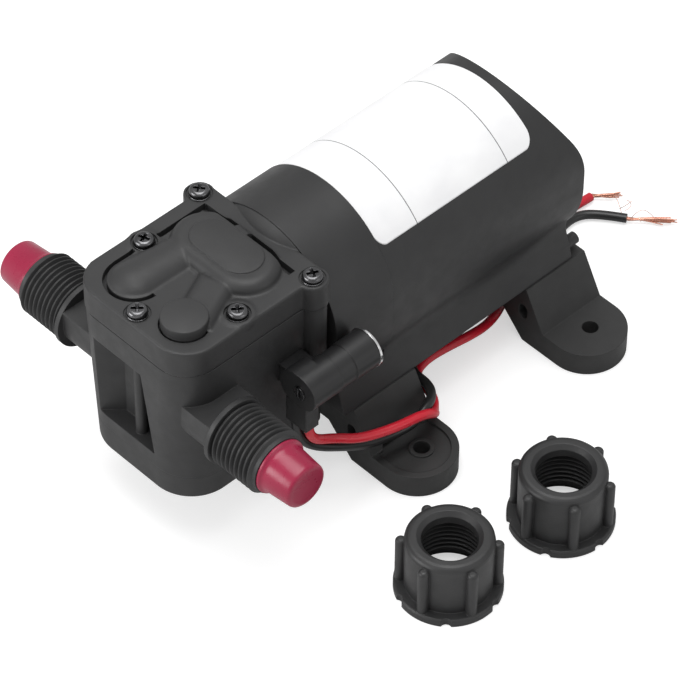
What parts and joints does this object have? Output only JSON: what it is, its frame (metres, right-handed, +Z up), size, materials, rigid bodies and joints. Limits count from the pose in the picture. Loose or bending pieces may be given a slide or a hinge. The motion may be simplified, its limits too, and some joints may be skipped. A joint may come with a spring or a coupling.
{
  "type": "diaphragm pump",
  "caption": "Small electric diaphragm water pump with side ports, pressure switch, motor shroud on slide-on feet, port plugs, loose union nuts and free leads",
  "frame": {"origin": "centre of the four foot holes, on the floor", "axes": "+X along the motor axis from the pump head to the motor's rear end, +Y towards the inlet port, +Z up"},
  "size_m": [0.2074, 0.1669, 0.0864],
  "materials": {
    "head_plastic": "dark grey moulded plastic, fine matt texture, soft sheen",
    "shroud_plastic": "dark grey moulded plastic, satin",
    "foot_rubber": "soft dark grey moulded rubber, matt",
    "switch_plastic": "black moulded plastic, satin",
    "label_film": "white printed film, thin dark divider lines, no text",
    "plug_plastic": "crimson soft plastic, glossy",
    "nut_plastic": "black moulded plastic, satin",
    "screw_steel": "bright zinc plated steel",
    "rim_steel": "polished steel",
    "red_insulation": "red cable insulation, satin",
    "black_insulation": "black cable insulation, satin",
    "copper": "bare copper",
    "diaphragm_rubber": "black rubber",
    "valve_plastic": "natural white moulded plastic",
    "rod_metal": "die cast, satin",
    "shaft_steel": "ground steel",
    "core_iron": "stacked steel sheets",
    "can_paint": "zinc plated steel, dull",
    "cap_plastic": "black moulded plastic",
    "magnet_ferrite": "ferrite, dull dark grey",
    "carbon": "pressed carbon",
    "holder_brass": "stamped brass"
  },
  "bodies": {
    "pump": {"motor_shroud": "shroud_plastic", "label": "label_film", "adapter_housing": "shroud_plastic", "pump_head": "head_plastic", "valve_cover": "head_plastic", "bottom_cover": "head_plastic", "valve_plate": "valve_plastic", "inlet_valve": "diaphragm_rubber", "outlet_valve": "diaphragm_rubber", "diaphragm": "diaphragm_rubber", "cover_screws": "screw_steel", "bottom_screws": "screw_steel", "adapter_screws": "screw_steel", "motor_screws": "screw_steel", "drive_bearing": "shaft_steel", "motor_bearing": "shaft_steel", "rear_bush": "holder_brass", "motor_can": "can_paint", "motor_end_cap": "cap_plastic", "magnets": "magnet_ferrite", "brushes": "carbon", "brush_holders": "holder_brass", "switch_body": "switch_plastic", "switch_cap": "switch_plastic", "switch_rim": "rim_steel", "switch_spring": "shaft_steel", "switch_membrane": "diaphragm_rubber", "snap_switch": "cap_plastic", "red_lead": "red_insulation", "black_lead": "black_insulation", "red_strands": "copper", "black_strands": "copper"},
    "rotor": {"motor_shaft": "shaft_steel", "eccentric": "shaft_steel", "eccentric_set_screw": "screw_steel", "armature_core": "core_iron", "armature_windings": "copper", "commutator": "copper"},
    "conrod": {"connecting_rod": "rod_metal", "rod_bearing": "shaft_steel", "clamp_plate": "rod_metal", "clamp_screw": "screw_steel"},
    "adjuster": {"adjusting_screw": "screw_steel"},
    "plunger": {"switch_plunger": "cap_plastic"},
    "outlet_plug": {"outlet_plug": "plug_plastic"},
    "inlet_plug": {"inlet_plug": "plug_plastic"},
    "union_nut_1": {"union_nut_1": "nut_plastic"},
    "union_nut_2": {"union_nut_2": "nut_plastic"},
    "front_foot": {"front_foot": "foot_rubber"},
    "rear_foot": {"rear_foot": "foot_rubber"}
  },
  "joints": [
    {"name": "motor_spin", "type": "hinge", "parent": "pump", "child": "rotor", "pos_m": [0, 0, 0.0565], "axis": [1, 0, 0], "continuous": true},
    {"name": "rod_on_eccentric", "type": "hinge", "parent": "rotor", "child": "conrod", "pos_m": [-0.076, 0, 0.0553], "axis": [1, 0, 0], "continuous": true, "deforming": ["diaphragm"]},
    {"name": "cut_off_adjustment", "type": "hinge", "parent": "pump", "child": "adjuster", "pos_m": [-0.078, -0.0366, 0.0563], "axis": [1, 0, 0], "range_deg": [-360, 360]},
    {"name": "plunger_slide", "type": "slide", "parent": "pump", "child": "plunger", "axis": [-1, 0, 0], "range_m": [0, 0.0008], "stiffness_N_per_m": 3000, "springref_m": -0.0006, "deforming": ["switch_spring"]},
    {"name": "outlet_plug_pull", "type": "slide", "parent": "pump", "child": "outlet_plug", "axis": [0, -1, 0], "range_m": [0, 0.025]},
    {"name": "inlet_plug_pull", "type": "slide", "parent": "pump", "child": "inlet_plug", "axis": [0, 1, 0], "range_m": [0, 0.025]},
    {"name": "union_nut_1_lift", "type": "slide", "parent": "pump", "child": "union_nut_1", "axis": [0, 0, 1], "range_m": [0, 0.05]},
    {"name": "union_nut_2_lift", "type": "slide", "parent": "pump", "child": "union_nut_2", "axis": [0, 0, 1], "range_m": [0, 0.05]},
    {"name": "front_foot_slide", "type": "slide", "parent": "pump", "child": "front_foot", "axis": [-1, 0, 0], "range_m": [0, 0.0034]},
    {"name": "rear_foot_slide", "type": "slide", "parent": "pump", "child": "rear_foot", "axis": [1, 0, 0], "range_m": [0, 0.008]}
  ],
  "couplings": [
    {"joint": "rod_on_eccentric", "follows": "motor_spin", "ratio": -1}
  ]
}
